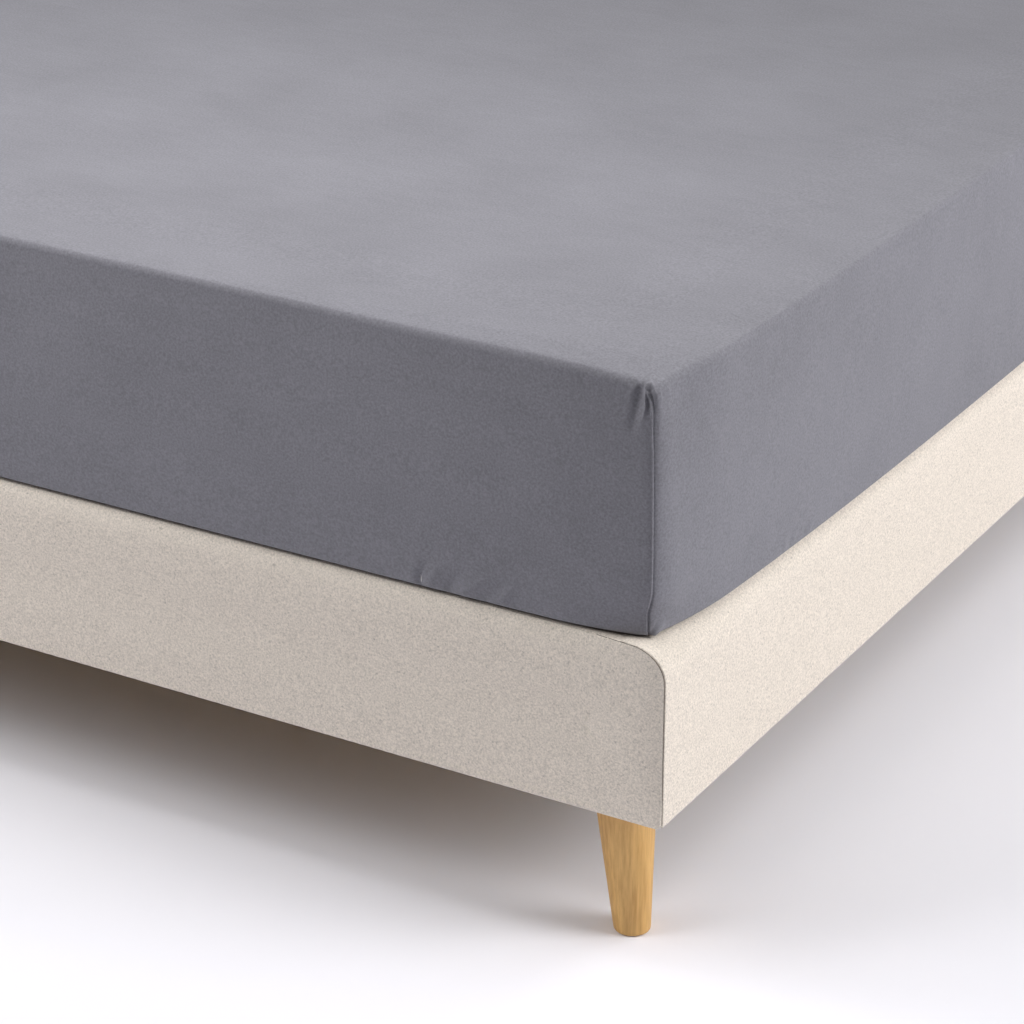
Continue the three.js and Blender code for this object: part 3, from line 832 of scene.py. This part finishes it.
def build_end_rail(name, end, material):
    """The foot end's rail, its facing and board, turned half round for the head end's."""
    facing_points, facing_faces = facing_mesh()
    board_points, board_faces = board_mesh(first=len(facing_points))
    points = np.concatenate([facing_points, board_points])
    if end > 0:
        points = points * HALF_TURN
    return make_object(name, points, facing_faces + board_faces, material)


# ---- the legs ----


def build_leg(name, corner, material):
    """A tapered leg turned about its axis, then sheared outwards and stood in its place."""
    height = LEG_HIGH[2] - LEG_LOW[2]
    edge = LEG["foot_edge"]
    profile = [(LEG["foot_radius"] - edge, 0.0)]
    for angle in np.linspace(0, math.pi / 2, LEG["edge_steps"] + 1)[1:]:
        radius = LEG["foot_radius"] - edge * (1 - math.sin(angle))
        profile.append((radius, edge * (1 - math.cos(angle))))
    for share in np.linspace(0, 1, LEG["side_steps"] + 1)[1:]:
        radius = mix(LEG["foot_radius"], LEG["top_radius"], share)
        profile.append((radius, mix(edge, height, share)))
    turns = np.linspace(0, 2 * math.pi, LEG["sides"], endpoint=False)
    foot = np.array([LEG_LOW[0] + LEG["foot_reach"], (LEG_LOW[1] + LEG_HIGH[1]) / 2])
    loops = []
    for radius, z in reversed(profile):
        lean = -LEG["splay"] * z / height
        x = corner["x"] * (foot[0] + lean) + radius * np.cos(turns)
        y = -corner["y"] * foot[1] + radius * np.sin(turns)
        loops.append(np.stack([x, y, z + LEG_LOW[2] + 0 * x], axis=-1))
    loops = np.array(loops)
    points, faces = loft(loops, [loops[0].mean(axis=0), loops[-1].mean(axis=0)])
    return make_object(name, points, faces, material)


# ---- stitches over the base's seams, their dark colour partly painted seam shade ----


def build_stitches(name, end, material):
    """Stitches along the seams between an end's facing and the side rails. They are darker than thread
    alone, because their colour also paints the shade in the seams' grooves.
    """
    outline, normals = facing_outline(OUTLINE_STEPS["stitches"])
    steps = np.linalg.norm(np.diff(outline, axis=0), axis=1)
    length = np.concatenate([[0.0], np.cumsum(steps)])
    on_side = outline[:, 0] > BASE_HALF_X - STITCH["reach"]
    stitched = length[on_side & (outline[:, 1] > BASE_BOTTOM + STITCH["lowest"])]
    random = np.random.default_rng(STITCH["seed"])
    turns = np.linspace(0, 2 * math.pi, STITCH["sides"], endpoint=False)
    points, faces = [], []
    for place in np.arange(stitched[0], stitched[-1], STITCH["pitch"]):
        half = STITCH["length"] / 2 * random.uniform(*STITCH["length_range"])
        sunk = STITCH["sunk"] * random.uniform(*STITCH["sunk_range"])
        rings = []
        for share in np.linspace(-1, 1, STITCH["rings"]):
            spot = place + share * half
            at = np.array([np.interp(spot, length, outline[:, part]) for part in range(2)])
            out = np.array([np.interp(spot, length, normals[:, part]) for part in range(2)])
            gap = seam_gap(out[1])
            radius = STITCH["fill"] * gap * math.sqrt(max(1 - abs(share) ** 3, STITCH["end_fill"]))
            centre = at - out * (sunk * max(out[1], 0.0) + radius)
            flat = centre + out * (radius * np.cos(turns))[:, None]
            y = facing_depth(*at) + gap / 2 - BASE_HALF_Y + radius * np.sin(turns)
            rings.append(np.stack([flat[:, 0], y, flat[:, 1]], axis=-1))
        caps = [np.mean(rings[0], axis=0), np.mean(rings[-1], axis=0)]
        for side in (1, -1):
            piece, piece_faces = loft(np.array(rings), caps, first=sum(map(len, points)))
            points.append(piece * [side, 1, 1])
            faces += [face[::side] for face in piece_faces]
    points = np.concatenate(points)
    if end > 0:
        points = points * HALF_TURN
    return make_object(name, points, faces, material)


# ---- materials ----

NOISE_RANGE = (0.3, 0.7)  # what most of a noise lies in
# The sockets of Blender's mix node that it uses for colors: factor, A and B, and the result.
COLOR_MIX_INPUTS = (0, 6, 7)
COLOR_MIX_RESULT = 2


class Surface:
    """A procedural material under construction, in the piece's own coordinates in metres."""

    def __init__(self, name, **sockets):
        self.material = bpy.data.materials.new(name)
        self.material.use_nodes = True
        self.tree = self.material.node_tree
        self.shader = self.tree.nodes["Principled BSDF"]
        self.place = self.add("ShaderNodeTexCoord", {}).outputs["Object"]
        for socket, value in sockets.items():
            self.shader.inputs[socket.replace("_", " ")].default_value = value

    def connect(self, socket, value):
        """Links a socket to another, or sets it to a plain value."""
        if isinstance(value, bpy.types.NodeSocket):
            self.tree.links.new(value, socket)
        else:
            socket.default_value = value

    def add(self, kind, inputs, **settings):
        made = self.tree.nodes.new(kind)
        for setting, value in settings.items():
            setattr(made, setting, value)
        for socket, value in inputs.items():
            self.connect(made.inputs[socket], value)
        return made

    def stretched(self, factors):
        """The place, stretched along each axis by these factors."""
        mapping = self.add("ShaderNodeMapping", {"Vector": self.place, "Scale": factors})
        return mapping.outputs["Vector"]

    def noise(self, size, detail=2.0, roughness=0.5, place=None):
        """Noise from 0 to 1 with features of about this size in millimetres."""
        inputs = {"Vector": place or self.place, "Scale": 1.0 / (size * MM)}
        inputs.update({"Detail": detail, "Roughness": roughness})
        return self.add("ShaderNodeTexNoise", inputs).outputs["Fac"]

    def remap(self, value, low, high, to_low=0.0, to_high=1.0):
        """Value moved from one range to another, and held inside it."""
        inputs = {"Value": value, "From Min": low, "From Max": high}
        inputs.update({"To Min": to_low, "To Max": to_high})
        return self.add("ShaderNodeMapRange", inputs).outputs["Result"]

    def tone(self, noise, low, high):
        """Noise, over its usual range, as a tone from low to high."""
        return self.remap(noise, *NOISE_RANGE, low, high)

    def math(self, operation, first, second):
        return self.add("ShaderNodeMath", {0: first, 1: second}, operation=operation).outputs["Value"]

    def vary(self, tone, noise, amount):
        """A tone, made lighter or darker by up to this amount."""
        return self.math("ADD", tone, self.tone(noise, -amount, amount))

    def blend(self, share, first, second, kind="MIX"):
        """Two colors joined by a share from 0 to 1, mixed or in another of Blender's kinds."""
        made = self.add("ShaderNodeMix", {}, data_type="RGBA", blend_type=kind)
        for socket, value in zip(COLOR_MIX_INPUTS, (share, first, second)):
            self.connect(made.inputs[socket], value)
        return made.outputs[COLOR_MIX_RESULT]

    def times(self, color, value):
        """A color, brightened or darkened by a value round 1."""
        grey = self.add("ShaderNodeCombineColor", {"Red": value, "Green": value, "Blue": value})
        return self.blend(1.0, color, grey.outputs["Color"], "MULTIPLY")

    def color(self, value):
        self.connect(self.shader.inputs["Base Color"], value)

    def bump(self, height, depth):
        """Relief of this depth in millimetres, from a height between 0 and 1."""
        inputs = {"Height": height, "Distance": depth * MM, "Strength": 1.0}
        made = self.add("ShaderNodeBump", inputs)
        self.connect(self.shader.inputs["Normal"], made.outputs["Normal"])


def cloth_material():
    surface = Surface("cloth", Roughness=0.85, Sheen_Weight=0.15, Specular_IOR_Level=0.25)
    grain = surface.noise(2.2, roughness=0.6)
    clouds = surface.noise(150.0, detail=3.0)
    streaks = surface.noise(12.0, place=surface.stretched((0.3, 1.0, 0.5)))
    tone = surface.remap(grain, 0.25, 0.75, 0.8, 1.2)
    tone = surface.vary(tone, clouds, 0.055)
    tone = surface.vary(tone, streaks, 0.025)
    surface.color(surface.times(SHEET_COLOR, tone))
    surface.bump(surface.noise(1.4, roughness=0.7), 0.12)
    return surface.material


def ticking_material():
    surface = Surface("ticking", Roughness=0.9)
    threads = surface.noise(1.5, place=surface.stretched((1.0, 0.35, 1.0)))
    surface.color(surface.times(TICKING_COLOR, surface.tone(threads, 0.94, 1.04)))
    surface.bump(threads, 0.3)
    return surface.material


def upholstery_material():
    surface = Surface("upholstery_weave", Roughness=0.95, Specular_IOR_Level=0.2)
    nubs = surface.noise(1.9, roughness=0.65)
    specks = surface.noise(2.8, detail=1.0)
    clouds = surface.noise(16.0)
    tone = surface.tone(nubs, 0.8, 1.18)
    tone = surface.math("ADD", tone, surface.remap(specks, 0.26, 0.36, -0.2, 0.0))
    tone = surface.vary(tone, clouds, 0.015)
    surface.color(surface.times(UPHOLSTERY_COLOR, tone))
    surface.bump(nubs, 0.25)
    return surface.material


# Thread for the base's seams, darker than thread alone, because it also paints the shade in the seams'
# grooves.
def stitch_and_seam_shade_material():
    surface = Surface("stitch_thread_and_seam_shade", Roughness=0.8)
    surface.color(surface.times(STITCH_AND_SEAM_SHADE_COLOR, surface.tone(surface.noise(0.8), 0.85, 1.1)))
    return surface.material


def wood_material(name, color, dark, stretch, roughness):
    """Wood whose grain runs along the axis with the least of the stretch's factors."""
    surface = Surface(name, Roughness=roughness)
    grain = surface.noise(3.2, detail=4.0, roughness=0.6, place=surface.stretched(stretch))
    figure = surface.noise(22.0, place=surface.stretched(stretch))
    share = surface.math("MULTIPLY", surface.remap(grain, 0.35, 0.68), 0.65)
    share = surface.math("ADD", share, surface.remap(figure, 0.35, 0.7, 0.0, 0.35))
    surface.color(surface.blend(share, color, dark))
    surface.bump(grain, 0.15)
    return surface.material


def floor_material():
    surface = Surface("floor_paint", Roughness=0.6, Specular_IOR_Level=0.1)
    surface.color(surface.times(FLOOR_COLOR, surface.tone(surface.noise(300.0), 0.995, 1.005)))
    return surface.material


# ---- the bed ----

upholstery = upholstery_material()
oak = wood_material("oak_oiled", OAK_COLOR, OAK_DARK, (1.0, 1.0, 0.06), 0.5)
pine = wood_material("pine_planed", PINE_COLOR, PINE_DARK, (0.08, 1.0, 1.0), 0.65)
pine_long = wood_material("pine_planed_long", PINE_COLOR, PINE_DARK, (1.0, 0.08, 1.0), 0.65)

sheet = build_sheet(cloth_material())
mattress = build_mattress(ticking_material())
solid_pieces = [
    (sheet, "fitted_sheet", "sheet"),
    (mattress, "mattress", "ticking"),
    (build_side_rail("side_rail_padding_right", 1, upholstery), "side_rail_right", "upholstery"),
    (build_side_rail("side_rail_padding_left", -1, upholstery), "side_rail_left", "upholstery"),
    (build_end_rail("foot_rail_padding", -1, upholstery), "foot_rail", "upholstery"),
    (build_end_rail("head_rail_padding", 1, upholstery), "head_rail", "upholstery"),
]
for corner in CORNERS:
    leg = build_leg(f"leg_turned_{corner['name']}", corner, oak)
    solid_pieces.append((leg, f"leg_{corner['name']}", "oak"))
for piece, node, material_slot in solid_pieces:
    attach(piece, "root")
    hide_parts(node)

# The stitches' material is darker than thread alone, because it also paints the shade in the seams'
# grooves.
stitches = stitch_and_seam_shade_material()
for name, end in [("stitches_and_seam_shade_foot", -1), ("stitches_and_seam_shade_head", 1)]:
    piece = build_stitches(name, end, stitches)
    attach(piece, "root")

# The plain timber keeps its CAD shapes. Its grain runs along the slats, across the bed, and on
# the battens and the beam along the bed.
for node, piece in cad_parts.items():
    if node.startswith(("slat_", "block_")):
        finish = pine
    elif node.startswith(("batten_", "centre_")):
        finish = pine_long
    else:
        continue
    piece.data.materials.clear()
    piece.data.materials.append(finish)

# ---- floor, light and camera ----

FLOOR_HALF = 15000.0
floor_points = [(x * FLOOR_HALF, y * FLOOR_HALF, 0.0) for x, y in [(-1, -1), (1, -1), (1, 1), (-1, 1)]]
floor = make_object("floor", floor_points, [(0, 1, 2, 3)], floor_material())

world = bpy.data.worlds.new("dark_room")
world.use_nodes = True
world.node_tree.nodes["Background"].inputs["Strength"].default_value = 0.0
bpy.context.scene.world = world


def add_light(name, place, size, power, target, spread=180.0):
    light = bpy.data.lights.new(name, "AREA")
    light.shape = "DISK"
    light.size = size
    light.energy = power
    light.spread = math.radians(spread)
    made = bpy.data.objects.new(name, light)
    made.location = place
    made.rotation_euler = (Vector(target) - Vector(place)).to_track_quat("-Z", "Y").to_euler()
    bpy.context.scene.collection.objects.link(made)


for light in LIGHTS:
    add_light(**light, target=LIGHT_TARGET)
for light in TOP_LIGHTS:
    x, y, z = light["place"]
    add_light(**light, target=(x, y, 0.0), spread=TOP_LIGHT_SPREAD)

camera_data = bpy.data.cameras.new("camera")
camera_data.lens = CAMERA["lens"]
camera_data.sensor_width = 36.0
camera = bpy.data.objects.new("camera", camera_data)
corner_point = Vector((END_HIGH[0], END_LOW[1], 0.0)) * MM
camera.location = corner_point + Vector(CAMERA["from_corner"])
camera.rotation_euler = [math.radians(angle) for angle in CAMERA["turn"]]
bpy.context.scene.collection.objects.link(camera)
bpy.context.scene.camera = camera
bpy.context.scene.view_settings.view_transform = "Standard"
